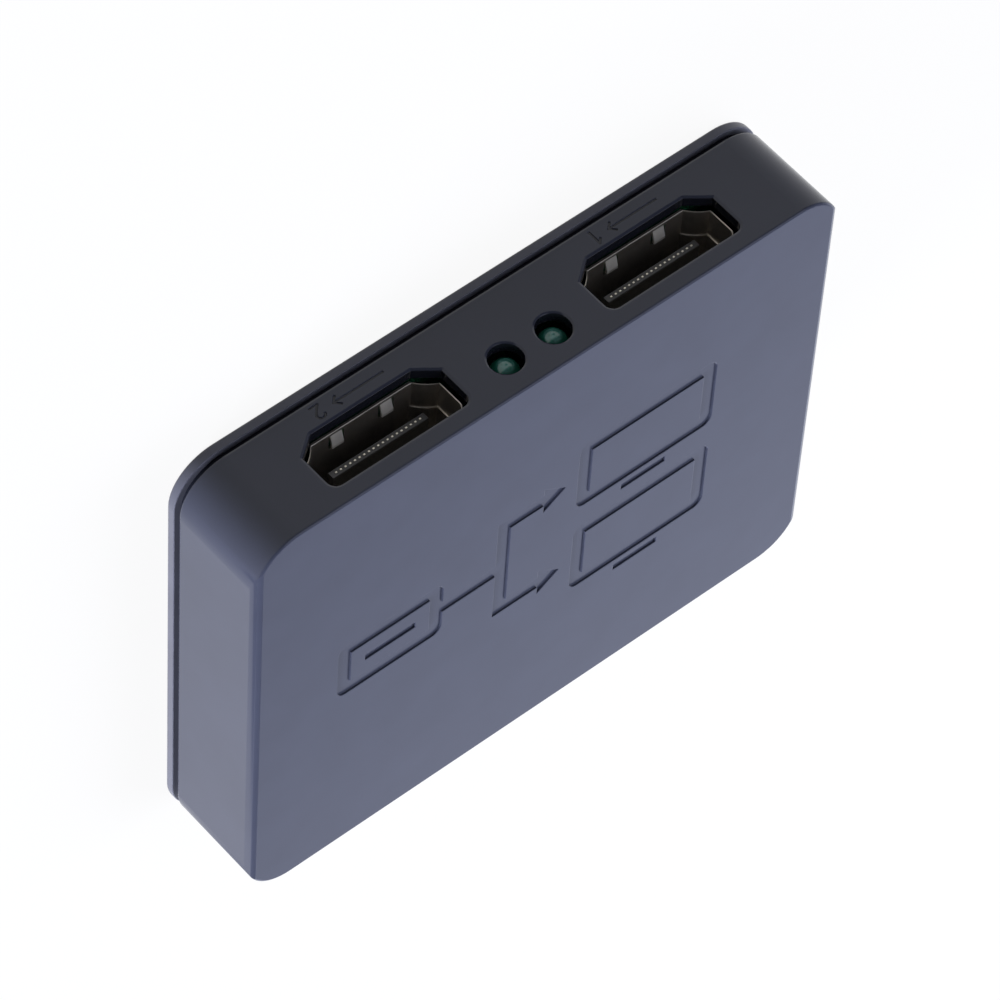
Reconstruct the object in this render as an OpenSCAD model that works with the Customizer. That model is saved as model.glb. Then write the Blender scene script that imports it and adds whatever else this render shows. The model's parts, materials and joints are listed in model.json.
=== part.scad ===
// Flat plastic box that copies one video signal to two outputs.
// It lies on its cover. +X runs along the row of outputs, +Y points out of them and +Z points up.
// The origin is the middle of the face that it lies on.

/* [Case] */
// Width of the box, along the row of outputs
case_w = 64; // [62:0.5:84]
// Depth of the box, from the input side to the output side
case_d = 49.8; // [48:0.2:70]
// Radius of the upright corners
corner_r = 4.7; // [3.5:0.1:7]
// Rounding of the upper edge at the sides
side_round = 0.95; // [0.6:0.05:1.4]
// Rounding of the upper edge at the outputs and at the input
front_round = 0.25; // [0.15:0.05:0.5]
// Rounding of the edge that the box lies on
base_round = 0.35; // [0.1:0.05:0.7]
// Thickness of the side walls
wall = 1.1; // [0.9:0.05:1.6]
// Thickness of the roof
roof = 1.5; // [1:0.1:3]
// Free height between the sockets and the roof
head_room = 0.9; // [0.5:0.1:5]

/* [Cover and seam] */
// Thickness of the cover, which shows as a rim round the box
cover_t = 1.0; // [0.9:0.05:2]
// Height of the shadow groove between rim and shell
seam_gap = 0.6; // [0.3:0.02:0.9]
// Depth of the shadow groove
seam_depth = 0.7; // [0.2:0.05:0.75]
// Rounding of the rim's upper edge
seam_round = 0.1; // [0.05:0.05:0.3]
// Depth of the bevel at the shell's lower edge
seam_bevel_d = 0.1; // [0.05:0.05:0.2]
// Height of that bevel
seam_bevel_h = 0.25; // [0.1:0.05:0.5]
// Thickness of the lip that stands up inside the walls
lip_t = 0.8; // [0.5:0.05:1.2]
// Height of the lip above the cover plate
lip_h = 2.4; // [2.2:0.05:2.8]
// Clearance between the lip and the walls
lip_fit = 0.1; // [0.05:0.01:0.2]
// Length of a snap hook along its wall
hook_len = 6; // [3:0.5:8]
// Height of a snap hook
hook_h = 0.7; // [0.4:0.05:0.9]
// Height of the hooks' catch above the cover plate
hook_z = 1.2; // [1.1:0.05:1.3]
// How far a snap hook stands out from the lip
hook_reach = 0.4; // [0.25:0.05:0.5]
// Clearance round a snap hook in its pocket
hook_fit = 0.1; // [0.05:0.01:0.2]
// Distance of the hooks on the long walls from the middle
hook_x = 20; // [14:0.5:23]
// Diameter of the posts that prop the board
post_d = 3; // [2:0.1:4]
// Distance of the posts from the middle, along the width
post_x = 21; // [18:0.5:24]
// Distance of the posts from the middle, along the depth
post_y = 7; // [4:0.5:9]
// Width of the bare label field under the cover
label_w = 38; // [20:1:46]
// Depth of the bare label field, front to back
label_d = 24; // [12:1:34]
// Depth of the label recess
label_sink = 0.2; // [0.1:0.05:0.4]

/* [Markings] */
// Depth of the pictogram in the roof
pictogram_sink = 0.2; // [0.1:0.05:0.6]
// Stroke of the pictogram
pictogram_stroke = 1.4; // [0.8:0.1:2]
// Width of one screen in the pictogram
screen_w = 15.5; // [10:0.5:17]
// Height of one screen in the pictogram
screen_h = 8.8; // [6:0.2:9.4]
// Depth of the marks beside the outputs
mark_sink = 0.12; // [0.05:0.01:0.3]
// Stroke of those marks
mark_stroke = 0.21; // [0.15:0.02:0.3]
// Height of the numerals
numeral_h = 1.4; // [1:0.1:1.6]
// Length of the arrow beside a numeral
arrow_l = 5.2; // [3:0.2:7]

/* [Circuit board] */
// Thickness of the circuit board
board_t = 1.6; // [1.2:0.1:2]
// Free height under the board for solder tails and screw heads
tail_room = 1.55; // [1.4:0.05:3]
// Clearance between the board and the cover's lip
board_gap = 0.2; // [0.1:0.05:0.5]
// Distance of the screws from the board's edges
screw_inset = 3.2; // [3:0.1:3.6]
// Diameter of the screws
screw_d = 1.8; // [1.4:0.1:2.2]
// Length of the screws under the head
screw_l = 5; // [3.5:0.5:6]
// Diameter of the screw heads
screw_head_d = 3.6; // [3:0.1:4.2]
// Height of the screw heads
screw_head_h = 0.9; // [0.6:0.1:1.2]
// Diameter of the bosses that take the screws
boss_d = 4.4; // [3.6:0.1:5]
// Clearance of a screw in its boss, all round
screw_fit = 0.03; // [0.02:0.01:0.08]
// Clearance of a screw in the board, all round
screw_hole_fit = 0.2; // [0.1:0.05:0.4]

/* [Video sockets] */
// Distance of an output from the box's nearer side
socket_side = 17; // [16:0.5:19]
// Distance of the input from the box's nearer side
input_side = 20; // [16:0.5:28]
// Width of the socket's opening
open_w = 14; // [13.6:0.05:14.4]
// Height of the socket's opening
open_h = 4.55; // [4.4:0.05:5]
// Width of the opening's narrow side
narrow_w = 10.4; // [9.4:0.1:11]
// Height of the slanted corners
slant_h = 1.55; // [1:0.05:2]
// How far a slanted corner curves into the opening
slant_bow = 0.18; // [0.05:0.01:0.3]
// Rounding of the opening's square corners
open_round = 0.5; // [0.2:0.05:0.9]
// Thickness of the socket's sheet metal
sheet_t = 0.3; // [0.25:0.01:0.4]
// Length of the socket's shell
socket_l = 10.5; // [9.5:0.1:11]
// Distance of the socket's mouth behind the wall
mouth_gap = 0.45; // [0.02:0.01:0.6]
// How much wider the mouth's lead-in is, but for its narrow side
lead_in = 0.15; // [0.04:0.01:0.2]
// Length of the lead-in
lead_in_l = 3; // [1:0.1:4]
// How far the wall's hole is wider than the opening, each side
hole_side = 0.4; // [0.2:0.05:0.8]
// How far the wall's hole reaches above the opening
hole_above = 0.85; // [0.2:0.05:0.9]
// How far the wall's hole reaches below the opening
hole_below = 0.15; // [0.05:0.05:0.6]
// Rounding of the hole's upper corners
hole_round = 0.9; // [0.3:0.1:1.2]
// Width of the bevel round the hole
hole_bevel = 0.25; // [0.1:0.05:0.4]
// Depth of the bevels round the holes in the walls
bevel_depth = 0.1; // [0.05:0.01:0.2]
// Width of the shell's solder legs
leg_w = 1.6; // [1:0.1:2]
// Distance of the front legs behind the mouth
leg_front = 2.6; // [2.4:0.1:4]
// Distance of the rear legs behind the mouth
leg_rear = 8.2; // [6.5:0.1:8.6]
// How far the solder legs come out under the board
leg_out = 0.8; // [0.4:0.1:1.1]
// Clearance of a leg in its slot, each side
leg_fit = 0.15; // [0.08:0.01:0.3]

/* [Tongue and contacts] */
// Width of the tongue
tongue_w = 10.2; // [9.8:0.1:10.6]
// Thickness of the tongue
tongue_t = 0.8; // [0.6:0.05:1]
// Distance of the tongue's tip behind the mouth
tongue_tip = 1.85; // [1.6:0.05:2.6]
// Length of the tongue's slanted nose
nose_l = 0.1; // [0.05:0.05:0.6]
// Height of the flat at the tip of the nose
nose_h = 0.7; // [0.3:0.05:0.75]
// Distance of the insulator's block behind the mouth
block_front = 7.2; // [6:0.1:8]
// Clearance between the insulator and the shell
block_fit = 0.03; // [0.02:0.01:0.06]
// Distance from one contact to the next
contact_pitch = 0.5; // [0.45:0.01:0.52]
// Number of contacts
contact_count = 19; // [9:2:19]
// Width of a contact
contact_w = 0.2; // [0.16:0.01:0.34]
// Thickness of a contact
contact_t = 0.15; // [0.1:0.01:0.2]
// Height of a contact's tip in the nose
tip_h = 0.16; // [0.1:0.01:0.3]
// Length of a contact's tip inside the tongue
tip_l = 2; // [1:0.1:3]
// How far a contact's tip stands out of the nose
tip_out = 0.03; // [0.01:0.01:0.06]
// Distance of the contacts' bend behind the block
tail_out = 0.35; // [0.2:0.05:0.6]
// Length of a contact's foot on the board
foot_l = 0.7; // [0.4:0.05:1]

/* [Retention springs] */
// Distance of a spring from the middle of its socket
spring_x = 2.65; // [2:0.05:3.2]
// Width of a spring
spring_w = 1.2; // [0.8:0.05:1.8]
// Thickness of a spring
spring_t = 0.24; // [0.16:0.01:0.26]
// Distance of a spring's root behind the mouth
spring_root = 0.5; // [0.4:0.05:1]
// Length of a spring
spring_l = 1.3; // [1.2:0.1:2]
// Length of a spring's ramp
ramp_l = 1; // [0.8:0.1:1.2]
// How far a spring's ramp rises into the socket
ramp_rise = 0.3; // [0.15:0.01:0.32]
// Clearance round a spring's sides and tip
spring_gap = 0.2; // [0.1:0.05:0.4]
// Running clearance at a spring's root
spring_fit = 0.05; // [0.03:0.01:0.1]

/* [Power socket] */
// Distance of the power socket from the box's nearer side
power_side = 16; // [13:0.5:22]
// Outer width of the power socket
power_w = 7.5; // [7.2:0.1:8]
// Outer height of the power socket
power_h = 2.6; // [2.4:0.05:3]
// Outer width of its narrow side
power_narrow = 5.4; // [4.8:0.1:6]
// Height of its slanted corners
power_slant = 1; // [0.7:0.05:1.2]
// Thickness of its sheet metal
power_sheet = 0.25; // [0.2:0.01:0.3]
// Length of its shell
power_l = 5.4; // [5:0.1:6.5]
// Distance of its mouth behind the outside of the wall
power_recess = 0.4; // [0.2:0.05:0.9]
// Clearance round its shell in the wall
power_fit = 0.25; // [0.1:0.05:0.5]
// Length of its insulator's block
power_block = 1.6; // [1.2:0.1:2]
// Width of its tongue
power_tongue_w = 3.8; // [3.4:0.1:4]
// Thickness of its tongue
power_tongue_t = 0.6; // [0.4:0.05:0.7]
// Distance of its tongue below the wide side
power_tongue_gap = 0.45; // [0.3:0.05:0.6]
// Distance from one power contact to the next
power_pitch = 0.65; // [0.55:0.01:0.7]
// Number of power contacts
power_contacts = 5; // [3:2:5]

/* [Lamps] */
// Distance between the two lamps
lamp_pitch = 5.2; // [4.6:0.1:6]
// Height of the lamps above the board
lamp_h = 4.05; // [3.2:0.05:4.2]
// Diameter of a lamp
lamp_d = 3; // [2.6:0.1:3.2]
// Diameter of the flange at a lamp's base
lamp_flange_d = 3.7; // [3.4:0.1:4]
// Thickness of that flange
lamp_flange_t = 1; // [0.6:0.1:1.4]
// Length of a lamp
lamp_l = 5.2; // [4.4:0.1:6]
// Distance of a lamp's tip behind the outside of the wall
lamp_recess = 0.8; // [0.2:0.05:1.2]
// Clearance round a lamp in the wall
lamp_fit = 0.1; // [0.05:0.01:0.2]
// Width of the bevel round a lamp's hole
lamp_bevel = 0.2; // [0.1:0.05:0.3]
// Distance between a lamp's two leads
lead_pitch = 2.54; // [2:0.02:2.6]
// Thickness of a lead
lead_t = 0.5; // [0.3:0.05:0.6]
// Distance of the leads' bend behind a lamp
lead_back = 1.5; // [1:0.1:2]
// How far the leads come out under the board
lead_out = 0.8; // [0.4:0.1:1.1]
// Clearance of a lead's corners in the board
lead_fit = 0.1; // [0.05:0.01:0.2]

/* [Board parts] */
// Side of the splitter chip
chip_w = 10; // [8:0.5:11]
// Height of the splitter chip's body
chip_h = 1.4; // [1:0.1:2]
// Leads on each side of the splitter chip
chip_leads = 16; // [8:1:16]
// Distance between the chip's leads
chip_pitch = 0.5; // [0.4:0.01:0.6]
// Height of chip bodies above the board
stand_off = 0.1; // [0.05:0.01:0.2]
// Reach of chip leads beyond the body
lead_reach = 1; // [0.8:0.05:1.3]
// Diameter of the bulk capacitors
bulk_d = 5; // [4:0.1:5.6]
// Height of the bulk capacitors
bulk_h = 5.3; // [4:0.1:5.6]
// Height of the bulk capacitors' base
bulk_base_h = 1; // [0.6:0.1:1.6]
// Length of a small chip part
small_l = 1.6; // [1:0.1:2]
// Width of a small chip part
small_w = 0.8; // [0.5:0.1:1]
// Height of a ceramic capacitor
ceramic_h = 0.8; // [0.5:0.05:1]
// Height of a chip resistor
resistor_h = 0.45; // [0.3:0.05:0.6]

/* [Hidden] */
$fn = 64;
// Overshoot of cutting shapes
over = 1;
// Thickness of the flat end of a tapered cutting shape
thin = 0.01;
// How far the sides' rounding starts outside the roof and the walls, so that the faces cross cleanly
round_start = 0.01;
// Straight pieces in one curved corner of an outline
arc_steps = 8;

// Heights of the stack, from the cover up
seam_top = cover_t + seam_gap;
board_z = cover_t + tail_room;
board_top = board_z + board_t;
socket_h = open_h + 2 * sheet_t;
roof_z = board_top + socket_h + head_room;
case_h = roof_z + roof;

// Insets from the case's outline
lip_inset = wall + lip_fit;
board_inset = lip_inset + lip_t + board_gap;
board_w = case_w - 2 * board_inset;
board_d = case_d - 2 * board_inset;
screw_x = board_w / 2 - screw_inset;
screw_y = board_d / 2 - screw_inset;

// Depth of a boss's pilot hole beyond the screw's end
pilot_spare = 0.4;

// Sockets: place along the width and the side that they face
output_1 = [case_w / 2 - socket_side, 1];
output_2 = [-case_w / 2 + socket_side, 1];
input = [input_side - case_w / 2, -1];
power_x = case_w / 2 - power_side;
mouth_y = case_d / 2 - wall - mouth_gap;
power_y = case_d / 2 - power_recess;

// Heights inside a socket, above the board
opening_z = sheet_t;
slant_angle = atan2(slant_h, (open_w - narrow_w) / 2);
tongue_z = opening_z + open_h / 2;
nose_y = -tongue_tip - nose_l;
tip_y = tip_out - tongue_tip;
bend_y = -tongue_tip - tip_l;
spring_z = sheet_t / 2;
tail_y = -socket_l - tail_out;
power_tongue_z = power_h - power_sheet - power_tongue_gap - power_tongue_t / 2;

// Lamps
lamp_z = board_top + lamp_h;
lamp_tip_y = case_d / 2 - lamp_recess;
lamp_base_y = lamp_tip_y - lamp_l;
lead_y = lamp_base_y - lead_back;

// Pictogram: places of its parts on the roof
picture_x = -1;
picture_y = 0.8;
picture_round = 1;
player_w = 11.5;
player_h = 7;
player_x = -16;
slot_w = 5.5;
junction_x = -3.6;
branch_y = 5.9;
arrow_tip_x = 3.2;
arrow_back = 2.4;
arrow_half = 1.6;
screen_x = 12.4;
stand_w = 5;
stand_gap = 0.7;

// Marks: spacing between arrow and numeral, and the numerals' own shape
mark_space = 1.6;
flag_w = 0.35;
flag_drop = 0.35;
bowl_r = 0.4;
bowl_end = -40;

// Parts on the board: sizes of standard packages
memory_size = [4.9, 3.9, 1.5];
memory_pitch = 1.27;
regulator_size = [6.5, 3.5, 1.6];
regulator_pitch = 2.3;
regulator_tab_w = 3;
inductor_size = [4, 4, 1.8];
crystal_size = [5, 3.2, 1.1];
crystal_margin = 0.2;
bulk_margin = 0.15;
array_size = [3, 3, 0.9];
array_pitch = 0.5;

// Clearances between the parts on the board
foot_gap = 0.3;
resistor_gap = 0.4;
part_gap = 0.6;
row_gap = 1.8;

// Distances of parts from the board's ends and from its front
memory_side = 10.8;
regulator_side = 11.8;
inductor_side = 4.8;
bulk_side = 5.8;
bulk_front = 6.2;

// Places of the parts on the board, from the parts that they keep clear of
chip_at = [0, 0];
memory_at = [memory_side - board_w / 2, 0];
regulator_y = power_y - power_l - tail_out - contact_t - foot_l - row_gap - lead_reach - regulator_size[1];
regulator_at = [board_w / 2 - regulator_side, -regulator_y];
inductor_at = [board_w / 2 - inductor_side, -regulator_y + inductor_size[1]];
chip_edge = chip_w / 2 + lead_reach;
resistor_x = chip_edge + row_gap + small_l;
crystal_at = [resistor_x + row_gap + crystal_size[0] / 2, 0];
bulk_at = [[chip_edge, bulk_front - board_d / 2], [board_w / 2 - bulk_side, bulk_d / 2]];
array_gap = 3.4;
array_y = socket_l + tail_out + contact_t + foot_l + foot_gap + lead_reach + array_size[1] / 2;
ceramic_y = chip_edge + row_gap + small_l / 2;
upper_count = 8;
upper_span = 2 * (output_1[0] - array_gap - array_size[0] / 2 - part_gap) - small_w;
lower_count = 5;
lower_span = 2 * (-input[0] - array_gap - array_size[0] / 2 - part_gap) - small_w;
resistor_count = 6;
resistor_step = small_w + resistor_gap;

// Points of an arc about c, from angle a to angle b
function arc(c, r, a, b) = [
  for (i = [0 : arc_steps])
    let (t = a + (b - a) * i / arc_steps)
      [c[0] + r * cos(t), c[1] + r * sin(t)]
];

// Points of a curved line from p to q that bows to its left
function bowed(p, q, bow) = [
  for (i = [0 : arc_steps])
    let (t = i / arc_steps, v = q - p, n = [-v[1], v[0]] / norm(v))
      p + v * t + n * bow * 4 * t * (1 - t)
];

function mirrored(points) = [for (i = [len(points) - 1 : -1 : 0]) [-points[i][0], points[i][1]]];

// Right half of a socket outline: narrow below, slanted corner, upright side, round upper corner
function socket_half(half_narrow, half_wide, low, slant_top, high, bow, round) = concat(
  bowed([half_narrow, low], [half_wide, slant_top], bow),
  arc([half_wide - round, high - round], round, 0, 90)
);

// Outline of the opening, grown by an amount all round
function opening_half(grow) = socket_half(
  narrow_w / 2 + grow * tan(slant_angle / 2),
  open_w / 2 + grow,
  opening_z - grow,
  opening_z + slant_h - grow * tan((90 - slant_angle) / 2),
  opening_z + open_h + grow,
  slant_bow,
  open_round + grow
);

// Outline of the hole in the wall in front of a socket, grown by an amount all round
function hole_half(grow) = socket_half(
  narrow_w / 2 + (hole_side + grow) * tan(slant_angle / 2),
  open_w / 2 + hole_side + grow,
  opening_z - hole_below - grow,
  opening_z + slant_h - hole_below - grow * tan((90 - slant_angle) / 2),
  opening_z + open_h + hole_above + grow,
  0,
  hole_round + grow
);

// Outline of the power socket's shell, grown by an amount all round
function power_half(grow) = [
  [power_narrow / 2 + grow / 2, -grow],
  [power_w / 2 + grow, power_slant - grow / 2],
  [power_w / 2 + grow, power_h + grow]
];

function round_rectangle(w, d, r) = concat(
  arc([w / 2 - r, -d / 2 + r], r, -90, 0),
  arc([w / 2 - r, d / 2 - r], r, 0, 90),
  arc([-w / 2 + r, d / 2 - r], r, 90, 180),
  arc([-w / 2 + r, -d / 2 + r], r, 180, 270)
);

// General shapes

module corner_waste(round) {
  difference() {
    square(round + over);
    circle(r = round);
  }
}

// Upright section of a slab's outer strip, with rounded outer edges or a bevel below
module edge_section(r, h, top, base, bevel_d, bevel_h) {
  difference() {
    square([r, h]);
    if (top > 0)
      translate([r - top, h - top]) corner_waste(top);
    if (base > 0)
      translate([r - base, base]) mirror([0, 1]) corner_waste(base);
    if (bevel_d > 0)
      polygon([
        [r - bevel_d, 0],
        [r, bevel_h],
        [r + over, bevel_h],
        [r + over, -over],
        [r - bevel_d, -over]
      ]);
  }
}

// Slab with upright round corners, optional rounded upper and lower edges and an optional bevel below
module slab(w, d, r, h, top = 0, base = 0, bevel_d = 0, bevel_h = 0) {
  core_w = w - 2 * r;
  core_d = d - 2 * r;
  translate([-core_w / 2, -core_d / 2, 0]) cube([core_w, core_d, h]);
  for (turn = [0, 1, 2, 3]) {
    across = turn % 2 == 0 ? core_d : core_w;
    out = turn % 2 == 0 ? core_w / 2 : core_d / 2;
    rotate([0, 0, 90 * turn]) {
      translate([out, across / 2, 0])
        rotate([90, 0, 0])
          linear_extrude(across) edge_section(r, h, top, base, bevel_d, bevel_h);
      translate([out, across / 2, 0])
        rotate_extrude(angle = 90) edge_section(r, h, top, base, bevel_d, bevel_h);
    }
  }
}

// Extrudes an outline drawn in X and Z from y = 0 backwards
module along_y(l) {
  rotate([90, 0, 0]) linear_extrude(l) children();
}

// Extrudes a section drawn in Y and Z along X, about the middle
module along_x(l) {
  rotate([90, 0, 90]) linear_extrude(l, center = true) children();
}

module block(size) {
  translate([-size[0] / 2, -size[1] / 2, 0]) cube(size);
}

module at_socket(place) {
  translate([place[0], place[1] * mouth_y, board_top])
    rotate([0, 0, place[1] > 0 ? 0 : 180])
      children();
}

module at_power() {
  translate([power_x, -power_y, board_top])
    rotate([0, 0, 180])
      children();
}

module at_screws() {
  for (x = [-screw_x, screw_x], y = [-screw_y, screw_y])
    translate([x, y, 0]) children();
}

// Places of the snap hooks, on the lip's outer face, with +Y pointing out of the box
module at_hooks() {
  for (turn = [0, 180], x = [-hook_x, hook_x])
    rotate([0, 0, turn])
      translate([x, case_d / 2 - lip_inset, cover_t + hook_z]) children();
  for (turn = [90, 270])
    rotate([0, 0, turn])
      translate([0, case_w / 2 - lip_inset, cover_t + hook_z]) children();
}

module opening_outline(grow) {
  half = opening_half(grow);
  polygon(concat(half, mirrored(half)));
}

// Markings

module frame_outline(w, h) {
  difference() {
    polygon(round_rectangle(w, h, picture_round));
    square([w - 2 * pictogram_stroke, h - 2 * pictogram_stroke], center = true);
  }
}

// One player feeding two screens
module pictogram() {
  half = pictogram_stroke / 2;
  translate([player_x, 0]) {
    frame_outline(player_w, player_h);
    square([slot_w, half], center = true);
  }
  trunk_x = player_x + player_w / 2 - half;
  translate([trunk_x, -half]) square([junction_x + half - trunk_x, pictogram_stroke]);
  translate([junction_x - half, -branch_y - half])
    square([pictogram_stroke, 2 * branch_y + pictogram_stroke]);
  for (y = [-branch_y, branch_y]) {
    translate([junction_x, y - half])
      square([arrow_tip_x - arrow_back - junction_x, pictogram_stroke]);
    translate([arrow_tip_x, y])
      polygon([[0, 0], [-arrow_back, arrow_half], [-arrow_back, -arrow_half]]);
    translate([screen_x, y]) {
      frame_outline(screen_w, screen_h);
      translate([0, -screen_h / 2 - stand_gap - half / 2]) square([stand_w, half], center = true);
    }
  }
}

// Straight stroke from p to q
module stroke(p, q) {
  v = q - p;
  translate(p)
    rotate(atan2(v[1], v[0]))
      translate([-mark_stroke / 2, -mark_stroke / 2])
        square([norm(v) + mark_stroke, mark_stroke]);
}

// Curved stroke about c
module arc_stroke(c, r, a, b) {
  outer = arc(c, r + mark_stroke / 2, a, b);
  inner = arc(c, r - mark_stroke / 2, b, a);
  polygon(concat(outer, inner));
}

module numeral_one() {
  stroke([0, 0], [0, numeral_h]);
  stroke([0, numeral_h], [-flag_w, numeral_h - flag_drop]);
}

module numeral_two() {
  bowl = [0, numeral_h - bowl_r];
  stroke([-bowl_r, 0], [bowl_r, 0]);
  stroke([-bowl_r, 0], bowl + bowl_r * [cos(bowl_end), sin(bowl_end)]);
  arc_stroke(bowl, bowl_r, bowl_end, 180);
}

// Arrow that points at the numeral, read from outside
module output_mark() {
  head = numeral_h / 3;
  tip = [0, numeral_h / 2];
  stroke([-arrow_l, numeral_h / 2], tip);
  for (side = [-1, 1])
    stroke(tip, tip + [-head, side * head]);
  translate([mark_space, 0]) children();
}

module at_mark(x) {
  mark_z = (seam_top + board_top + opening_z - hole_below - numeral_h) / 2;
  translate([x - (arrow_l - mark_space) / 2, case_d / 2 - mark_sink, mark_z])
    rotate([90, 0, 180])
      linear_extrude(mark_sink + over) children();
}

// Case

module top_shell() {
  color("#24262f")
    difference() {
      union() {
        difference() {
          shell_block();
          translate([0, 0, cover_t - over])
            slab(case_w - 2 * wall, case_d - 2 * wall, corner_r - wall, roof_z - cover_t + over);
        }
        at_screws()
          translate([0, 0, board_top]) cylinder(d = boss_d, h = roof_z - board_top + roof / 2);
      }
      at_screws()
        translate([0, 0, board_top - over])
          cylinder(d = screw_d + 2 * screw_fit, h = over + screw_l - board_t + pilot_spare);
      for (place = [output_1, output_2, input])
        wall_hole(place);
      power_hole();
      lamp_holes();
      at_hooks() hook_pocket();
      translate([picture_x, picture_y, case_h - pictogram_sink])
        linear_extrude(pictogram_sink + over) pictogram();
      at_mark(output_1[0]) output_mark() numeral_one();
      at_mark(output_2[0]) output_mark() numeral_two();
    }
}

// Outer body of the shell: the wall's inner half reaches down to the cover
module shell_block() {
  translate([0, 0, seam_top])
    intersection() {
      slab(
        case_w,
        case_d,
        corner_r,
        case_h - seam_top,
        top = front_round,
        bevel_d = seam_bevel_d,
        bevel_h = seam_bevel_h
      );
      translate([0, case_d / 2 + over, 0]) along_y(case_d + 2 * over) side_section();
    }
  translate([0, 0, cover_t])
    slab(case_w - 2 * seam_depth, case_d - 2 * seam_depth, corner_r - seam_depth, seam_gap);
}

// Section across the shell, with its upper corners rounded
module side_section() {
  half_w = case_w / 2 + round_start;
  h = case_h - seam_top + round_start;
  difference() {
    translate([-half_w, -over]) square([2 * half_w, h + over]);
    for (side = [0, 1])
      mirror([side, 0])
        translate([half_w - side_round, h - side_round]) corner_waste(side_round);
  }
}

// Hole with a bevel, whose taper starts a full bevel outside the wall and ends as far inside it
module wall_hole(place) {
  at_socket(place)
    translate([0, wall + mouth_gap, 0]) {
      translate([0, over, 0]) along_y(wall + mouth_gap + over) hole_outline(0);
      hull() {
        translate([0, bevel_depth + thin, 0]) along_y(thin) hole_outline(2 * hole_bevel);
        translate([0, -2 * bevel_depth, 0]) along_y(thin) hole_outline(-hole_bevel);
      }
    }
}

module hole_outline(grow) {
  half = hole_half(grow);
  polygon(concat(half, mirrored(half)));
}

module power_hole() {
  at_power()
    translate([0, power_recess + over, 0]) along_y(wall + 2 * over) power_outline(power_fit);
}

module power_outline(grow) {
  half = power_half(grow);
  polygon(concat(half, mirrored(half)));
}

module lamp_holes() {
  r = lamp_d / 2 + lamp_fit;
  for (x = [-lamp_pitch / 2, lamp_pitch / 2])
    translate([x, case_d / 2, lamp_z])
      rotate([90, 0, 0]) {
        translate([0, 0, -over]) cylinder(r = r, h = wall + 2 * over);
        translate([0, 0, -bevel_depth])
          cylinder(r1 = r + 2 * lamp_bevel, r2 = r - lamp_bevel, h = 3 * bevel_depth);
      }
}

module hook_pocket() {
  translate([-hook_len / 2 - hook_fit, 0, -hook_fit])
    cube([hook_len + 2 * hook_fit, hook_reach + hook_fit, hook_h + 2 * hook_fit]);
}

module bottom_cover() {
  color("#2a2c33") {
    difference() {
      slab(case_w, case_d, corner_r, cover_t, top = seam_round, base = base_round);
      translate([0, 0, -over])
        linear_extrude(label_sink + over) polygon(round_rectangle(label_w, label_d, picture_round));
    }
    translate([0, 0, cover_t]) {
      difference() {
        slab(case_w - 2 * lip_inset, case_d - 2 * lip_inset, corner_r - lip_inset, lip_h);
        lip_core();
      }
      for (x = [-post_x, post_x], y = [-post_y, post_y])
        translate([x, y, 0]) cylinder(d = post_d, h = tail_room);
    }
    at_hooks()
      along_x(hook_len) polygon([[0, 0], [hook_reach, 0], [0, hook_h]]);
  }
}

// Space inside the cover's lip
module lip_core() {
  inset = lip_inset + lip_t;
  translate([0, 0, -over])
    slab(case_w - 2 * inset, case_d - 2 * inset, corner_r - inset, lip_h + 2 * over);
}

// Circuit board

module circuit_board() {
  color("#1d5a34")
    difference() {
      translate([0, 0, board_z])
        slab(board_w, board_d, corner_r - board_inset, board_t);
      at_screws()
        translate([0, 0, board_z - over])
          cylinder(d = screw_d + 2 * screw_hole_fit, h = board_t + 2 * over);
      for (place = [output_1, output_2, input])
        at_socket(place) at_legs() leg_slot(sheet_t);
      at_power() at_power_legs() leg_slot(power_sheet);
      for (x = [-lamp_pitch / 2, lamp_pitch / 2], side = [-lead_pitch / 2, lead_pitch / 2])
        translate([x + side, lead_y, board_z - over])
          cylinder(d = lead_t * sqrt(2) + 2 * lead_fit, h = board_t + 2 * over);
    }
}

module leg_slot(thickness) {
  translate([-leg_fit, -leg_w / 2 - leg_fit, -board_t - over])
    cube([thickness + 2 * leg_fit, leg_w + 2 * leg_fit, board_t + 2 * over]);
}

// Places of a video socket's legs, at the inner face of its side walls
module at_legs() {
  for (side = [0, 1], y = [leg_front, leg_rear])
    mirror([side, 0, 0])
      translate([open_w / 2, -y, 0]) children();
}

// Places of the power socket's legs
module at_power_legs() {
  for (side = [0, 1])
    mirror([side, 0, 0])
      translate([power_w / 2 - power_sheet, -power_l + leg_w, 0]) children();
}

module leg(thickness, top) {
  translate([0, -leg_w / 2, -board_t - leg_out])
    cube([thickness, leg_w, board_t + leg_out + top]);
}

module board_screws() {
  color("#b9bcc2")
    at_screws()
      translate([0, 0, board_z]) {
        cylinder(d = screw_d, h = screw_l);
        translate([0, 0, -screw_head_h])
          difference() {
            cylinder(d = screw_head_d, h = screw_head_h);
            for (turn = [0, 90])
              rotate([0, 0, turn])
                translate([-screw_d / 2, -screw_d / 8, -over])
                  cube([screw_d, screw_d / 4, over + screw_head_h / 2]);
          }
      }
}

// Video sockets

module socket_shell(place) {
  color("#c9c6bd")
    at_socket(place)
      difference() {
        union() {
          along_y(socket_l) opening_outline(sheet_t);
          at_legs() leg(sheet_t, opening_z + slant_h + leg_w / 2);
        }
        translate([0, over, 0]) along_y(socket_l + 2 * over) opening_outline(0);
        translate([0, over, 0]) along_y(lead_in_l + over) lead_in_outline();
        for (x = [-spring_x, spring_x])
          translate([x, 0, 0]) spring_window();
      }
}

// The lead-in leaves the narrow side as it is
module lead_in_outline() {
  intersection() {
    opening_outline(lead_in);
    translate([-open_w, opening_z]) square([2 * open_w, 2 * open_h]);
  }
}

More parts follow.
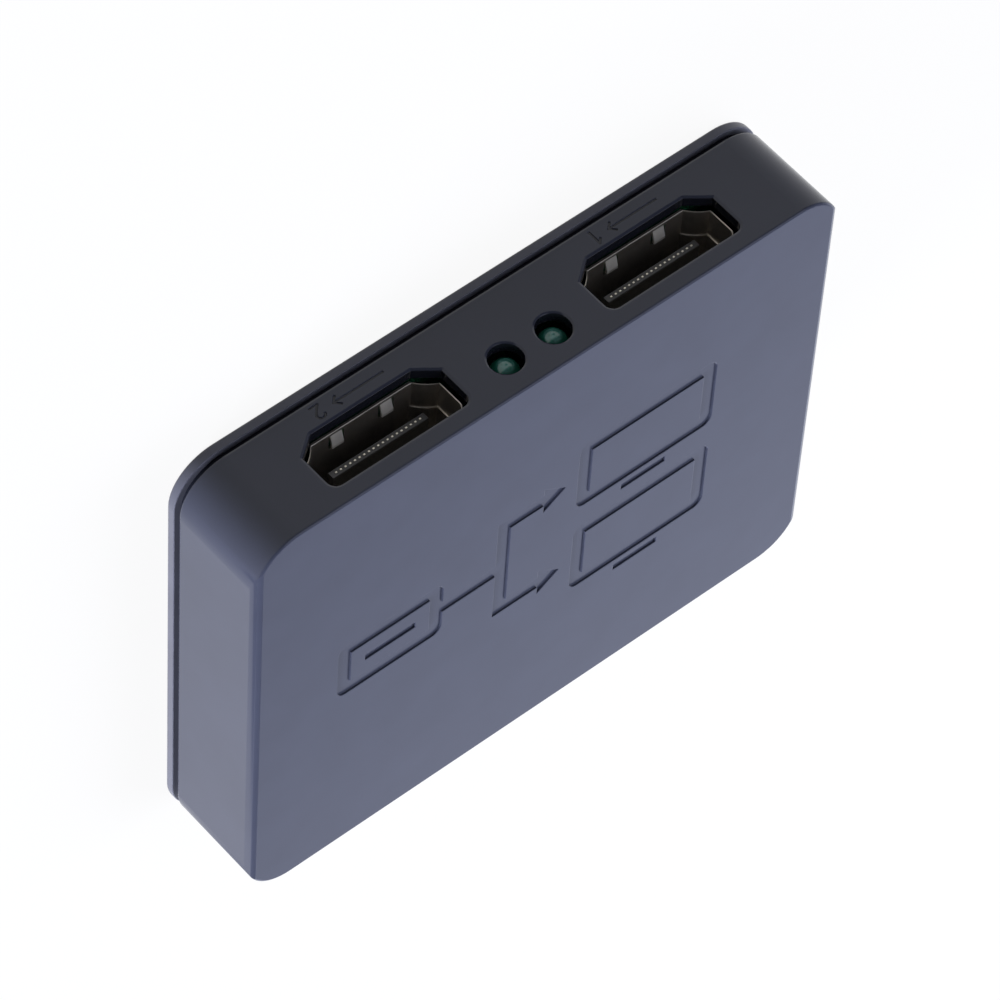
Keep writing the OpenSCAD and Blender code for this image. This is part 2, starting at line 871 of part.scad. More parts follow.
module spring_window() {
  front = spring_root - spring_t / 2 - spring_fit;
  rear = spring_root + spring_l + spring_gap;
  width = spring_w + 2 * spring_gap;
  translate([-width / 2, -rear, -over])
    cube([width, rear - front, sheet_t + 2 * over]);
}

module socket_insulator(place) {
  color("#3a3835")
    at_socket(place)
      difference() {
        union() {
          translate([0, -block_front, 0]) along_y(socket_l - block_front) opening_outline(-block_fit);
          along_x(tongue_w) polygon(tongue_section());
        }
        for (i = [0 : contact_count - 1])
          translate([contact_x(i), 0, tongue_z])
            mirror([0, 0, is_upper(i) ? 0 : 1]) contact_slot();
      }
}

function tongue_section() = [
  [-tongue_tip, tongue_z - nose_h / 2],
  [-tongue_tip, tongue_z + nose_h / 2],
  [nose_y, tongue_z + tongue_t / 2],
  [-block_front, tongue_z + tongue_t / 2],
  [-block_front, tongue_z - tongue_t / 2],
  [nose_y, tongue_z - tongue_t / 2]
];

// Contacts take turns above and below the tongue
function is_upper(i) = i % 2 == 0;
function contact_x(i) = (i - (contact_count - 1) / 2) * contact_pitch;

// Room for an upper contact, about the tongue's middle: through the block, and for its tip in the nose
module contact_slot() {
  translate([-contact_w / 2, -socket_l - over, tongue_t / 2])
    cube([contact_w, socket_l - block_front + 2 * over, contact_t]);
  along_x(contact_w)
    polygon([
      [over - tongue_tip, -tip_h / 2],
      [over - tongue_tip, tip_h / 2],
      [bend_y, tip_h / 2],
      [bend_y, tongue_t / 2 + over],
      [bend_y - contact_t, tongue_t / 2 + over],
      [bend_y - contact_t, -tip_h / 2]
    ]);
}

module socket_contacts(place) {
  color("#d8c9a0")
    at_socket(place)
      for (i = [0 : contact_count - 1])
        translate([contact_x(i), 0, 0])
          along_x(contact_w) polygon(is_upper(i) ? upper_contact() : lower_contact());
}

// A contact's tip looks out of the nose. Behind it the contact bends up or down to the tongue's face,
// runs along it and through the block, and bends down to the board.
function upper_contact() = [
  [tip_y, tongue_z - tip_h / 2],
  [tip_y, tongue_z + tip_h / 2],
  [bend_y, tongue_z + tip_h / 2],
  [bend_y, tongue_z + tongue_t / 2 + contact_t],
  [tail_y - contact_t, tongue_z + tongue_t / 2 + contact_t],
  [tail_y - contact_t, contact_t],
  [tail_y - contact_t - foot_l, contact_t],
  [tail_y - contact_t - foot_l, 0],
  [tail_y, 0],
  [tail_y, tongue_z + tongue_t / 2],
  [bend_y - contact_t, tongue_z + tongue_t / 2],
  [bend_y - contact_t, tongue_z - tip_h / 2]
];
function lower_contact() = [
  [tip_y, tongue_z + tip_h / 2],
  [tip_y, tongue_z - tip_h / 2],
  [bend_y, tongue_z - tip_h / 2],
  [bend_y, tongue_z - tongue_t / 2 - contact_t],
  [tail_y, tongue_z - tongue_t / 2 - contact_t],
  [tail_y, 0],
  [tail_y - contact_t - foot_l, 0],
  [tail_y - contact_t - foot_l, contact_t],
  [tail_y - contact_t, contact_t],
  [tail_y - contact_t, tongue_z - tongue_t / 2],
  [bend_y - contact_t, tongue_z - tongue_t / 2],
  [bend_y - contact_t, tongue_z + tip_h / 2]
];

// A pair of leaves in the narrow wall: round root, ramp, then flat to the tip
module socket_springs(place) {
  color("#cbbfae")
    at_socket(place)
      for (x = [-spring_x, spring_x])
        translate([x, -spring_root, spring_z]) {
          rotate([0, 90, 0]) cylinder(d = spring_t, h = spring_w, center = true);
          along_x(spring_w) polygon(spring_section());
        }
}

function spring_section() = [
  [0, -spring_t / 2],
  [0, spring_t / 2],
  [-ramp_l, ramp_rise + spring_t / 2],
  [-spring_l, ramp_rise + spring_t / 2],
  [-spring_l, ramp_rise - spring_t / 2],
  [-ramp_l, ramp_rise - spring_t / 2]
];

// Power socket

module power_shell() {
  color("#c4c4c0")
    at_power()
      difference() {
        union() {
          along_y(power_l) power_outline(0);
          at_power_legs() leg(power_sheet, power_slant + power_h / 4);
        }
        translate([0, over, 0]) along_y(power_l + 2 * over) power_outline(-power_sheet);
      }
}

module power_insulator() {
  color("#26262a")
    at_power() {
      difference() {
        translate([0, power_block - power_l, 0])
          along_y(power_block) power_outline(-power_sheet - block_fit);
        for (i = [0 : power_contacts - 1])
          translate([power_contact_x(i), -power_l - over, power_contact_z()])
            translate([-contact_w / 2, 0, 0]) cube([contact_w, power_block + 2 * over, contact_t]);
      }
      translate([0, power_block / 2 - power_l / 2 - power_recess, power_tongue_z])
        cube([power_tongue_w, power_l - power_block - 2 * power_recess, power_tongue_t], center = true);
    }
}

function power_contact_x(i) = (i - (power_contacts - 1) / 2) * power_pitch;
function power_contact_z() = power_tongue_z - power_tongue_t / 2 - contact_t;

// A power contact lies under the tongue, leaves the block behind and stands on the board
function power_contact() = [
  [-2 * power_recess, power_contact_z()],
  [-power_l - tail_out, power_contact_z()],
  [-power_l - tail_out, 0],
  [-power_l - tail_out - contact_t - foot_l, 0],
  [-power_l - tail_out - contact_t - foot_l, contact_t],
  [-power_l - tail_out - contact_t, contact_t],
  [-power_l - tail_out - contact_t, power_contact_z() + contact_t],
  [-2 * power_recess, power_contact_z() + contact_t]
];

module power_contacts_row() {
  color("#d8c9a0")
    at_power()
      for (i = [0 : power_contacts - 1])
        translate([power_contact_x(i), 0, 0]) along_x(contact_w) polygon(power_contact());
}

// Lamps

module lamp_lens(x) {
  color("#0d5c30")
    translate([x, lamp_base_y, lamp_z])
      rotate([-90, 0, 0]) rotate_extrude() lamp_section();
}

module lamp_section() {
  r = lamp_d / 2;
  square([lamp_flange_d / 2, lamp_flange_t]);
  translate([0, lamp_flange_t]) square([r, lamp_l - r - lamp_flange_t]);
  translate([0, lamp_l - r])
    intersection() {
      circle(r = r);
      square(r);
    }
}

module lamp_leads(x) {
  down = lamp_z - board_z + lead_out;
  color("#c8cacd")
    for (side = [-lead_pitch / 2, lead_pitch / 2])
      translate([x + side, 0, lamp_z])
        along_x(lead_t)
          polygon([
            [lamp_base_y, lead_t / 2],
            [lead_y - lead_t / 2, lead_t / 2],
            [lead_y - lead_t / 2, -down],
            [lead_y + lead_t / 2, -down],
            [lead_y + lead_t / 2, -lead_t / 2],
            [lamp_base_y, -lead_t / 2]
          ]);
}

// Parts on the board

module on_board(at) {
  translate([at[0], at[1], board_top]) children();
}

module chip_body(size) {
  translate([0, 0, stand_off]) block(size);
}

// Bent lead that leaves a body at y = 0, at half its height, and stands on the board
module bent_lead(w, body_h) {
  knee = lead_reach / 3;
  exit_z = stand_off + body_h / 2;
  along_x(w)
    polygon([
      [0, exit_z],
      [knee, exit_z],
      [knee, 0],
      [lead_reach, 0],
      [lead_reach, contact_t],
      [knee + contact_t, contact_t],
      [knee + contact_t, exit_z + contact_t],
      [0, exit_z + contact_t]
    ]);
}

module lead_row(count, pitch, w, body_h) {
  for (i = [0 : count - 1])
    translate([(i - (count - 1) / 2) * pitch, 0, 0]) bent_lead(w, body_h);
}

// Rows of leads on two opposite sides of a body
module two_rows(size, count, pitch, w) {
  for (turn = [0, 180])
    rotate([0, 0, turn])
      translate([0, size[1] / 2, 0]) lead_row(count, pitch, w, size[2]);
}

module splitter_chip() {
  color("#1c1c1e") on_board(chip_at) chip_body([chip_w, chip_w, chip_h]);
}

module splitter_chip_leads() {
  color("#c8cacd")
    on_board(chip_at)
      for (turn = [0, 90])
        rotate([0, 0, turn]) two_rows([chip_w, chip_w, chip_h], chip_leads, chip_pitch, chip_pitch / 2);
}

module memory_chip() {
  color("#1c1c1e") on_board(memory_at) chip_body(memory_size);
}

module memory_chip_leads() {
  color("#c8cacd") on_board(memory_at) two_rows(memory_size, 4, memory_pitch, memory_pitch / 3);
}

module voltage_regulator() {
  color("#1c1c1e") on_board(regulator_at) chip_body(regulator_size);
}

module voltage_regulator_leads() {
  color("#c8cacd")
    on_board(regulator_at) {
      translate([0, regulator_size[1] / 2, 0]) bent_lead(regulator_tab_w, regulator_size[2]);
      rotate([0, 0, 180])
        translate([0, regulator_size[1] / 2, 0])
          lead_row(3, regulator_pitch, regulator_pitch / 3, regulator_size[2]);
    }
}

module power_inductor() {
  color("#3c3c3c")
    on_board(inductor_at)
      linear_extrude(inductor_size[2])
        polygon(round_rectangle(inductor_size[0], inductor_size[1], inductor_size[0] / 8));
}

module crystal() {
  color("#c0b48c")
    on_board(crystal_at) {
      block([crystal_size[0], crystal_size[1], crystal_size[2] / 2]);
      translate([0, 0, crystal_size[2] / 2])
        block(crystal_size - [2 * crystal_margin, 2 * crystal_margin, crystal_size[2] / 2]);
    }
}

module bulk_capacitors() {
  color("#b4b7bb")
    for (at = bulk_at)
      on_board(at)
        translate([0, 0, bulk_base_h]) cylinder(d = bulk_d, h = bulk_h - bulk_base_h);
}

module bulk_capacitor_bases() {
  color("#202022")
    for (at = bulk_at)
      on_board(at) block([bulk_d + 2 * bulk_margin, bulk_d + 2 * bulk_margin, bulk_base_h]);
}

module ceramic_row(count, span, y) {
  for (i = [0 : count - 1])
    on_board([(i / (count - 1) - 0.5) * span, y])
      block([small_w, small_l, ceramic_h]);
}

module ceramic_capacitors() {
  color("#a98f6a") {
    ceramic_row(upper_count, upper_span, ceramic_y);
    ceramic_row(lower_count, lower_span, -ceramic_y);
  }
}

module chip_resistors() {
  color("#2a2a2c")
    for (x = [-resistor_x, resistor_x], i = [0 : resistor_count - 1])
      on_board([x, (i - (resistor_count - 1) / 2) * resistor_step])
        block([small_l, small_w, resistor_h]);
}

// Two surge arrays behind each video socket
module at_arrays() {
  for (place = [output_1, output_2, input], side = [-array_gap, array_gap])
    at_socket(place)
      translate([side, -array_y, 0]) children();
}

module surge_arrays() {
  color("#1c1c1e") at_arrays() chip_body(array_size);
}

module surge_array_leads() {
  color("#c8cacd") at_arrays() two_rows(array_size, 5, array_pitch, array_pitch / 2);
}

top_shell();
bottom_cover();
circuit_board();
board_screws();
socket_shell(output_1);  // output_1_shell
socket_insulator(output_1);  // output_1_insulator
socket_contacts(output_1);  // output_1_contacts
socket_springs(output_1);  // output_1_springs
socket_shell(output_2);  // output_2_shell
socket_insulator(output_2);  // output_2_insulator
socket_contacts(output_2);  // output_2_contacts
socket_springs(output_2);  // output_2_springs
socket_shell(input);  // input_shell
socket_insulator(input);  // input_insulator
socket_contacts(input);  // input_contacts
socket_springs(input);  // input_springs
power_shell();
power_insulator();
power_contacts_row();  // power_contacts
lamp_lens(lamp_pitch / 2);  // lamp_1_lens
lamp_leads(lamp_pitch / 2);  // lamp_1_leads
lamp_lens(-lamp_pitch / 2);  // lamp_2_lens
lamp_leads(-lamp_pitch / 2);  // lamp_2_leads
splitter_chip();
splitter_chip_leads();
memory_chip();
memory_chip_leads();
voltage_regulator();
voltage_regulator_leads();
power_inductor();
crystal();
bulk_capacitors();
bulk_capacitor_bases();
ceramic_capacitors();
chip_resistors();
surge_arrays();
surge_array_leads();
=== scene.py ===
import json
from math import cos, radians, sin

import bpy
from mathutils import Matrix, Vector

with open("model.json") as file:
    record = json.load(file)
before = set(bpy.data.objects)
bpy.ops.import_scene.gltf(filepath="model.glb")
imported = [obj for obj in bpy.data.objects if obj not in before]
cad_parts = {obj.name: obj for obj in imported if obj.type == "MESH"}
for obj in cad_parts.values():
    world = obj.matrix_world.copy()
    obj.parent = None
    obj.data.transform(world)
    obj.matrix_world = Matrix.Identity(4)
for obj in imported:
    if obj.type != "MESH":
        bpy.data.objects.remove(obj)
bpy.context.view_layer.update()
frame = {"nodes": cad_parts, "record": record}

# Looks of a flat box that copies one video signal to two outputs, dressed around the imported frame.
# The frame is in metres: +X runs along the outputs, +Y points out of them and +Z points up.

MM = 0.001

# Case: where its round corners are centred, where its inner faces begin, and how dark the painted shade
# on them is
CASE_CORE = Vector((27.3, 20.2, 0)) * MM
INNER_RANGE = (4.55 * MM, 4.65 * MM)
ROOF_RANGE = (10.95 * MM, 11.1 * MM)
INNER_PAINTED_SHADE = 0.3

# Camera: the point that it looks at, and its place round that point
CAMERA_TARGET = Vector((0.163, 0.458, 5.85)) * MM
CAMERA_DISTANCE = 542.43 * MM
CAMERA_AZIMUTH = -152.641
CAMERA_ELEVATION = 25.764
CAMERA_ROLL = -134.309
CAMERA_LENS = 225.81
CAMERA_SENSOR = 36
CAMERA_CLIP = (0.01, 20)

# Stage
FLOOR_HALF = 3.0
FLOOR_HEIGHT = -0.05 * MM
FLOOR_SEEN = (0.8, 0.8, 0.8)
FLOOR_BOUNCE = (0.13, 0.13, 0.13)
FLOOR_GLOW = 0.92
FLOOR_ROUGHNESS = 0.9

# Sky: an even level, a bright wall behind the box that fades upwards, and a glow in front of the outputs
SKY_COLOUR = (0.92, 0.965, 1.13, 1)
SKY_LEVEL = 0.1
WALL_GLOW = 1.5
WALL_SIDE = Vector((0.5, -0.87, 0))
WALL_SIDE_RANGE = (0.35, 0.9)
WALL_HEIGHT_RANGE = (0.33, 0.52)
FRONT_GLOW = 1.4
FRONT_SIDE = Vector((0.25, 0.42, 0.87))
FRONT_RANGE = (0.88, 0.97)

# Lamps: their cool white, and each one's direction, distance, size and power
LAMP_COLOUR = (0.915, 0.96, 1.14)
LEFT_LAMP = (Vector((-0.93, -0.35, 0.12)), 0.8, 0.4, 15.5)
TOP_LAMP = (Vector((0.55, -0.3, 0.78)), 0.9, 0.6, 8.2)


# Materials: the span that noise values mostly keep to, and sizes of the finer patterns
NOISE_SPAN = (0.3, 0.7)
METAL_CLOUD = 1.2 * MM
METAL_STRETCH = (1, 0.08, 1)
WEAVE_STRETCH = (1, 0.3, 1)
TRACK_PITCH = 4 * MM
# Lamp lens: its own dark green, then the colour and reach of a painted reflection on its tip
LAMP_SIDE = (0.02, 0.22, 0.13)
LAMP_TIP_REFLECTION = (0.17, 0.45, 0.36)
LAMP_REFLECTION_RANGE = (0.18, 0.24)

# Rounding of sharp edges
WELD_REACH = 0.001 * MM
EDGE_SEGMENTS = 3
EDGE_ANGLE = radians(60)


# Node helpers

def new_material(name="look"):
    """A material with its node tree and its main shader."""
    material = bpy.data.materials.new(name)
    material.use_nodes = True
    return material, material.node_tree, material.node_tree.nodes["Principled BSDF"]


def object_position(tree, stretch=(1, 1, 1)):
    """Position on the object, scaled along each axis."""
    place = tree.nodes.new("ShaderNodeTexCoord")
    mapping = tree.nodes.new("ShaderNodeMapping")
    mapping.inputs["Scale"].default_value = stretch
    tree.links.new(place.outputs["Object"], mapping.inputs["Vector"])
    return mapping.outputs["Vector"]


def noise(tree, size, detail=2.0, stretch=(1, 1, 1)):
    """Noise whose spots are about size metres across."""
    texture = tree.nodes.new("ShaderNodeTexNoise")
    texture.inputs["Scale"].default_value = 1 / size
    texture.inputs["Detail"].default_value = detail
    tree.links.new(object_position(tree, stretch), texture.inputs["Vector"])
    return texture.outputs["Fac"]


def map_range(tree, value, low, high, start, end, ease="LINEAR"):
    """Goes from start to end as a value goes from low to high."""
    node = tree.nodes.new("ShaderNodeMapRange")
    node.interpolation_type = ease
    node.inputs["From Min"].default_value = low
    node.inputs["From Max"].default_value = high
    node.inputs["To Min"].default_value = start
    node.inputs["To Max"].default_value = end
    tree.links.new(value, node.inputs["Value"])
    return node.outputs["Result"]


def spread(tree, value, low, high):
    """Maps a noise value to a range."""
    return map_range(tree, value, *NOISE_SPAN, low, high)


def smooth_step(tree, value, low, high, start, end):
    """Eases from start to end as a value goes from low to high."""
    return map_range(tree, value, low, high, start, end, "SMOOTHSTEP")


def join(tree, operation, first, second):
    """Joins two values by one step of arithmetic."""
    node = tree.nodes.new("ShaderNodeMath")
    node.operation = operation
    tree.links.new(first, node.inputs[0])
    tree.links.new(second, node.inputs[1])
    return node.outputs[0]


def two_tone(tree, value, dark, light, low=NOISE_SPAN[0], high=NOISE_SPAN[1]):
    """Colour between two tones, by a noise value."""
    ramp = tree.nodes.new("ShaderNodeValToRGB")
    ramp.color_ramp.elements[0].position = low
    ramp.color_ramp.elements[0].color = (*dark, 1)
    ramp.color_ramp.elements[1].position = high
    ramp.color_ramp.elements[1].color = (*light, 1)
    tree.links.new(value, ramp.inputs["Fac"])
    return ramp.outputs["Color"]


def add_bump(tree, shader, height, depth, strength=1.0):
    """Bump of a real depth in metres."""
    bump = tree.nodes.new("ShaderNodeBump")
    bump.inputs["Strength"].default_value = strength
    bump.inputs["Distance"].default_value = depth
    tree.links.new(height, bump.inputs["Height"])
    tree.links.new(bump.outputs["Normal"], shader.inputs["Normal"])


def shade(colour, factor):
    return tuple(min(1.0, c * factor) for c in colour)


def vector_step(tree, operation, vector, other=None):
    """One step of vector arithmetic."""
    node = tree.nodes.new("ShaderNodeVectorMath")
    node.operation = operation
    tree.links.new(vector, node.inputs[0])
    if other is not None:
        node.inputs[1].default_value = other
    return node.outputs["Value" if operation == "LENGTH" else "Vector"]


def painted_shade_factor(tree):
    """One on the outside of the case and less on its inner faces, by how deep they lie: a painted shade
    that darkens the inside and the recesses as if in shadow.
    """
    place = object_position(tree)
    split = tree.nodes.new("ShaderNodeSeparateXYZ")
    tree.links.new(place, split.inputs[0])
    level = vector_step(tree, "ABSOLUTE", vector_step(tree, "MULTIPLY", place, (1, 1, 0)))
    past_core = vector_step(tree, "MAXIMUM", vector_step(tree, "SUBTRACT", level, CASE_CORE), (0, 0, 0))
    walls = smooth_step(tree, vector_step(tree, "LENGTH", past_core), *INNER_RANGE, INNER_PAINTED_SHADE, 1)
    roof = smooth_step(tree, split.outputs["Z"], *ROOF_RANGE, INNER_PAINTED_SHADE, 1)
    return join(tree, "MAXIMUM", walls, roof)


# Materials, one for each slot of the record

def plastic(
    colour, rough, grain, grain_depth, ior=1.45, blotch=6 * MM, variation=0.08, painted_inner_shade=False
):
    """Moulded plastic: faint blotches of tone, uneven gloss and a fine moulded grain. Its inner faces
    can take a painted shade, darker as if in shadow.
    """
    material, tree, shader = new_material()
    cloud = noise(tree, blotch)
    tone = two_tone(tree, cloud, shade(colour, 1 - variation), shade(colour, 1 + variation))
    # Painted shade: the inner faces and recesses of the case are darkened as if they lay in shadow
    if painted_inner_shade:
        darken = tree.nodes.new("ShaderNodeVectorMath")
        darken.operation = "SCALE"
        tree.links.new(tone, darken.inputs[0])
        tree.links.new(painted_shade_factor(tree), darken.inputs["Scale"])
        tone = darken.outputs["Vector"]
    tree.links.new(tone, shader.inputs["Base Color"])
    gloss = spread(tree, noise(tree, blotch / 3), rough[0], rough[1])
    tree.links.new(gloss, shader.inputs["Roughness"])
    shader.inputs["IOR"].default_value = ior
    add_bump(tree, shader, noise(tree, grain, detail=3.0), grain_depth)
    return material


def metal(colour, rough, streak, streak_depth, variation=0.06, purity=1.0):
    """Rolled sheet: streaks along Y and a cloudy tone. A matt plating has a purity below one."""
    material, tree, shader = new_material()
    cloud = noise(tree, METAL_CLOUD)
    tone = two_tone(tree, cloud, shade(colour, 1 - variation), shade(colour, 1 + variation))
    tree.links.new(tone, shader.inputs["Base Color"])
    drawn = noise(tree, streak, detail=2.0, stretch=METAL_STRETCH)
    tree.links.new(spread(tree, drawn, rough[0], rough[1]), shader.inputs["Roughness"])
    shader.inputs["Metallic"].default_value = purity
    add_bump(tree, shader, drawn, streak_depth)
    return material


def off_axis(tree):
    """Distance from the piece's middle line along Y, as a share of its width."""
    place = tree.nodes.new("ShaderNodeTexCoord")
    mapping = tree.nodes.new("ShaderNodeMapping")
    mapping.inputs["Location"].default_value = (-0.5, 0, -0.5)
    mapping.inputs["Scale"].default_value = (1, 0, 1)
    tree.links.new(place.outputs["Generated"], mapping.inputs["Vector"])
    length = tree.nodes.new("ShaderNodeVectorMath")
    length.operation = "LENGTH"
    tree.links.new(mapping.outputs["Vector"], length.inputs[0])
    return length.outputs["Value"]


def lamp_epoxy():
    """Dark green tinted resin, with a painted reflection at the tip: a pale, cloudy patch where the dome
    would mirror the bright opening.
    """
    material, tree, shader = new_material()
    cloud = noise(tree, 0.5 * MM, detail=1.0)
    # Painted reflection: a pale cloudy patch in the middle of the tip, standing in for the bright
    # opening mirrored in the dome
    middle = smooth_step(tree, off_axis(tree), *LAMP_REFLECTION_RANGE, 1, 0)
    painted_reflection = join(tree, "MULTIPLY", middle, spread(tree, cloud, 0.25, 1))
    tone = two_tone(tree, painted_reflection, LAMP_SIDE, LAMP_TIP_REFLECTION, low=0.0, high=1.0)
    tree.links.new(tone, shader.inputs["Base Color"])
    tree.links.new(spread(tree, cloud, 0.08, 0.16), shader.inputs["Roughness"])
    shader.inputs["IOR"].default_value = 1.54
    add_bump(tree, shader, noise(tree, 0.3 * MM), 0.002 * MM)
    return material


def board_laminate():
    """Green solder mask over the weave of the glass, with tracks that show through it."""
    material, tree, shader = new_material()
    tracks = tree.nodes.new("ShaderNodeTexBrick")
    tracks.inputs["Scale"].default_value = 1 / TRACK_PITCH
    tracks.inputs["Mortar Size"].default_value = 0.03
    tracks.inputs["Color1"].default_value = (0.014, 0.105, 0.045, 1)
    tracks.inputs["Color2"].default_value = (0.018, 0.125, 0.055, 1)
    tracks.inputs["Mortar"].default_value = (0.03, 0.2, 0.08, 1)
    tree.links.new(object_position(tree), tracks.inputs["Vector"])
    tree.links.new(tracks.outputs["Color"], shader.inputs["Base Color"])
    weave = noise(tree, 0.4 * MM, stretch=WEAVE_STRETCH)
    tree.links.new(spread(tree, weave, 0.3, 0.45), shader.inputs["Roughness"])
    add_bump(tree, shader, weave, 0.01 * MM)
    return material


def slot_materials():
    """The finish of each material slot."""
    finishes = {
        # The case's inner faces take a painted shade
        "case_plastic": plastic(
            (0.053, 0.058, 0.084), (0.17, 0.19), 2.5 * MM, 0.001 * MM,
            ior=1.37, variation=0.04, painted_inner_shade=True
        ),
        "cover_plastic": plastic((0.13, 0.132, 0.16), (0.3, 0.36), 0.8 * MM, 0.004 * MM, ior=1.4),
        "board_laminate": board_laminate(),
        "screw_steel": metal((0.55, 0.55, 0.57), (0.25, 0.4), 0.2 * MM, 0.004 * MM),
        "socket_steel": metal((0.47, 0.43, 0.37), (0.3, 0.34), 0.6 * MM, 0.0002 * MM, purity=0.8),
        "socket_plastic": plastic((0.1, 0.097, 0.093), (0.3, 0.38), 0.4 * MM, 0.002 * MM),
        "contact_metal": metal((0.85, 0.79, 0.66), (0.3, 0.36), 0.2 * MM, 0.001 * MM, purity=0.7),
        "spring_steel": metal((0.85, 0.81, 0.72), (0.5, 0.58), 0.3 * MM, 0.002 * MM, purity=0.2),
        "lamp_epoxy": lamp_epoxy(),
        "lead_metal": metal((0.66, 0.66, 0.66), (0.25, 0.4), 0.1 * MM, 0.003 * MM),
        "chip_plastic": plastic((0.018, 0.018, 0.019), (0.5, 0.62), 0.08 * MM, 0.008 * MM),
        "ferrite": plastic((0.05, 0.05, 0.052), (0.55, 0.7), 0.1 * MM, 0.015 * MM),
        "crystal_can": metal((0.62, 0.56, 0.42), (0.2, 0.32), 0.2 * MM, 0.003 * MM),
        "capacitor_can": metal((0.68, 0.69, 0.7), (0.25, 0.36), 0.25 * MM, 0.003 * MM),
        "ceramic": plastic((0.36, 0.27, 0.16), (0.45, 0.55), 0.1 * MM, 0.006 * MM),
    }
    for slot, material in finishes.items():
        material.name = slot
    return finishes


# Width of the rounding on the sharp edges of each slot's nodes
EDGE_ROUND = {
    "case_plastic": 0.06 * MM,
    "cover_plastic": 0.05 * MM,
    "socket_steel": 0.07 * MM,
    "socket_plastic": 0.04 * MM,
    "contact_metal": 0.03 * MM,
}


def round_edges(node, width):
    """Breaks the sharp edges of a node with modifiers; its mesh stays as it is."""
    weld = node.modifiers.new("weld", "WELD")
    weld.merge_threshold = WELD_REACH
    bevel = node.modifiers.new("edge", "BEVEL")
    bevel.width = width
    bevel.segments = EDGE_SEGMENTS
    bevel.limit_method = "ANGLE"
    bevel.angle_limit = EDGE_ANGLE
    bevel.use_clamp_overlap = False
    bevel.harden_normals = True
    normals = node.modifiers.new("normals", "WEIGHTED_NORMAL")
    normals.keep_sharp = True


def dress_nodes():
    """Gives each CAD node its slot's material and its edge rounding."""
    materials = slot_materials()
    for part in frame["record"]["subparts"]:
        node = frame["nodes"][part["node"]]
        slot = part["material_slot"]
        for place in node.material_slots:
            place.material = materials[slot]
        if slot in EDGE_ROUND:
            round_edges(node, EDGE_ROUND[slot])


# Stage

def seen_directly(tree):
    """One for rays from the camera, a mirror or glass, and nought for the others."""
    path = tree.nodes.new("ShaderNodeLightPath").outputs
    seen = join(tree, "MAXIMUM", path["Is Camera Ray"], path["Is Glossy Ray"])
    return join(tree, "MAXIMUM", seen, path["Is Transmission Ray"])


def floor_material():
    """White sweep that shows as white and still takes a faint shadow."""
    material, tree, shader = new_material("floor")
    shader.inputs["Roughness"].default_value = FLOOR_ROUGHNESS
    seen = seen_directly(tree)
    tree.links.new(two_tone(tree, seen, FLOOR_BOUNCE, FLOOR_SEEN, 0, 1), shader.inputs["Base Color"])
    glow = tree.nodes.new("ShaderNodeEmission")
    mix = tree.nodes.new("ShaderNodeMixShader")
    share = tree.nodes.new("ShaderNodeMath")
    share.operation = "MULTIPLY"
    share.inputs[1].default_value = FLOOR_GLOW
    tree.links.new(seen, share.inputs[0])
    tree.links.new(share.outputs[0], mix.inputs["Fac"])
    tree.links.new(shader.outputs["BSDF"], mix.inputs[1])
    tree.links.new(glow.outputs["Emission"], mix.inputs[2])
    tree.links.new(mix.outputs["Shader"], tree.nodes["Material Output"].inputs["Surface"])
    return material


def make_floor():
    mesh = bpy.data.meshes.new("floor")
    sides = ((-1, -1), (1, -1), (1, 1), (-1, 1))
    corners = [(x * FLOOR_HALF, y * FLOOR_HALF, FLOOR_HEIGHT) for x, y in sides]
    mesh.from_pydata(corners, [], [(0, 1, 2, 3)])
    mesh.materials.append(floor_material())
    floor = bpy.data.objects.new("floor", mesh)
    bpy.context.scene.collection.objects.link(floor)


def side_of_sky(tree, position, direction, span):
    """Nought to one as the sky's direction turns towards a given one."""
    towards = tree.nodes.new("ShaderNodeVectorMath")
    towards.operation = "DOT_PRODUCT"
    towards.inputs[1].default_value = direction.normalized()
    tree.links.new(position, towards.inputs[0])
    return smooth_step(tree, towards.outputs["Value"], *span, 0, 1)


def weigh(tree, value, factor, rest):
    """Value times a factor plus the rest, where the rest is a number or a link."""
    node = tree.nodes.new("ShaderNodeMath")
    node.operation = "MULTIPLY_ADD"
    node.inputs[1].default_value = factor
    tree.links.new(value, node.inputs[0])
    if isinstance(rest, float):
        node.inputs[2].default_value = rest
    else:
        tree.links.new(rest, node.inputs[2])
    return node.outputs[0]


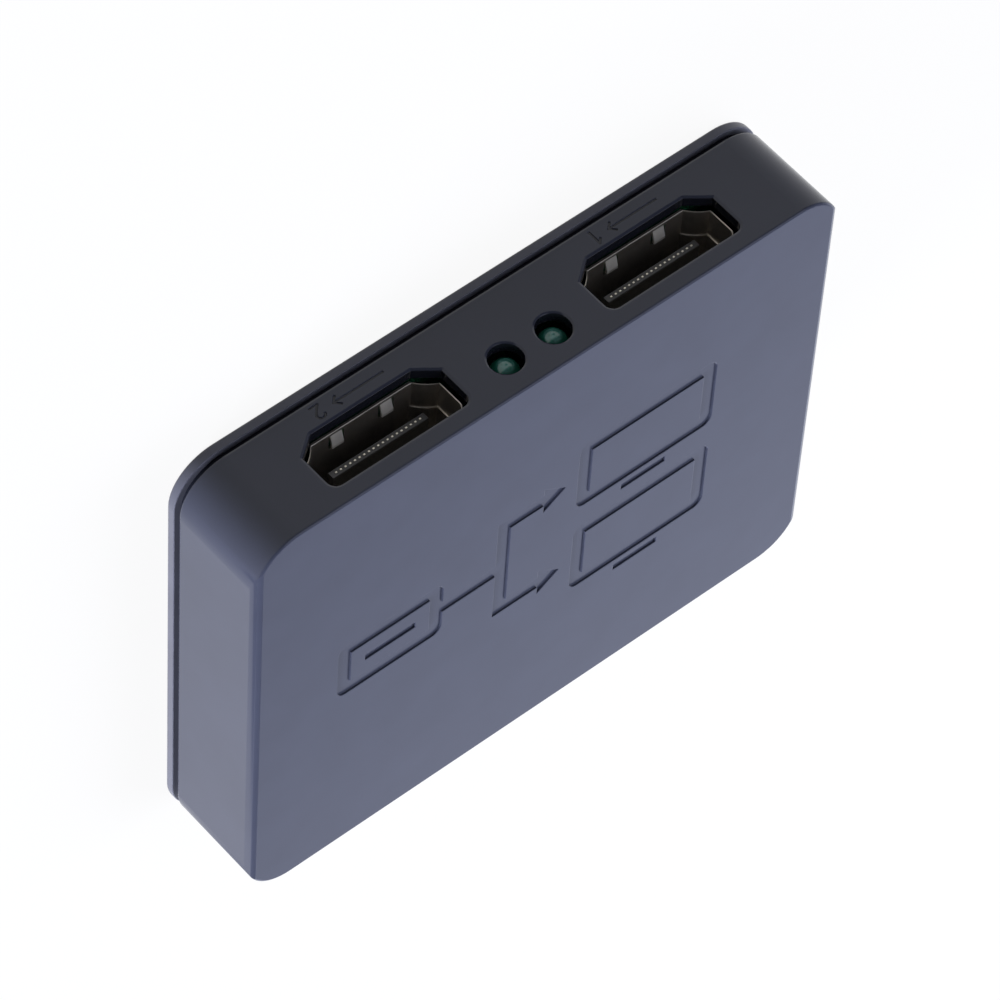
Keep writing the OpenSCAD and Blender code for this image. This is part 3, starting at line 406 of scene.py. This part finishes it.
def make_sky():
    """Soft studio surroundings: a wall of light on one side, a glow in front, white to the camera."""
    world = bpy.data.worlds.new("studio")
    bpy.context.scene.world = world
    world.use_nodes = True
    tree = world.node_tree
    position = tree.nodes.new("ShaderNodeTexCoord").outputs["Generated"]
    split = tree.nodes.new("ShaderNodeSeparateXYZ")
    tree.links.new(position, split.inputs[0])
    side = side_of_sky(tree, position, WALL_SIDE, WALL_SIDE_RANGE)
    height = smooth_step(tree, split.outputs["Z"], *WALL_HEIGHT_RANGE, 1, 0)
    wall = join(tree, "MULTIPLY", side, height)
    front = side_of_sky(tree, position, FRONT_SIDE, FRONT_RANGE)
    level = weigh(tree, wall, WALL_GLOW, weigh(tree, front, FRONT_GLOW, SKY_LEVEL))
    direct = tree.nodes.new("ShaderNodeLightPath").outputs["Is Camera Ray"]
    shown = join(tree, "MAXIMUM", level, direct)
    tree.links.new(shown, tree.nodes["Background"].inputs["Strength"])
    tree.nodes["Background"].inputs["Color"].default_value = SKY_COLOUR


def make_light(name, direction, distance, size, power):
    """Square soft light that points at the origin."""
    data = bpy.data.lights.new(name, "AREA")
    data.size = size
    data.energy = power
    data.color = LAMP_COLOUR
    lamp = bpy.data.objects.new(name, data)
    unit = direction.normalized()
    turn = unit.to_track_quat("Z", "Y").to_matrix().to_4x4()
    lamp.matrix_world = Matrix.Translation(unit * distance) @ turn
    lamp.visible_glossy = False
    bpy.context.scene.collection.objects.link(lamp)


def make_camera():
    data = bpy.data.cameras.new("camera")
    data.sensor_fit = "HORIZONTAL"
    data.sensor_width = CAMERA_SENSOR
    data.lens = CAMERA_LENS
    data.clip_start, data.clip_end = CAMERA_CLIP
    azimuth = radians(CAMERA_AZIMUTH)
    elevation = radians(CAMERA_ELEVATION)
    back = Vector((sin(azimuth) * cos(elevation), -cos(azimuth) * cos(elevation), sin(elevation)))
    turn = back.to_track_quat("Z", "Y").to_matrix().to_4x4()
    camera = bpy.data.objects.new("camera", data)
    spot = Matrix.Translation(CAMERA_TARGET + back * CAMERA_DISTANCE)
    camera.matrix_world = spot @ turn @ Matrix.Rotation(radians(-CAMERA_ROLL), 4, "Z")
    bpy.context.scene.collection.objects.link(camera)
    bpy.context.scene.camera = camera


dress_nodes()
make_floor()
make_sky()
make_light("left_lamp", *LEFT_LAMP)
make_light("top_lamp", *TOP_LAMP)
make_camera()
bpy.context.scene.view_settings.view_transform = "Standard"
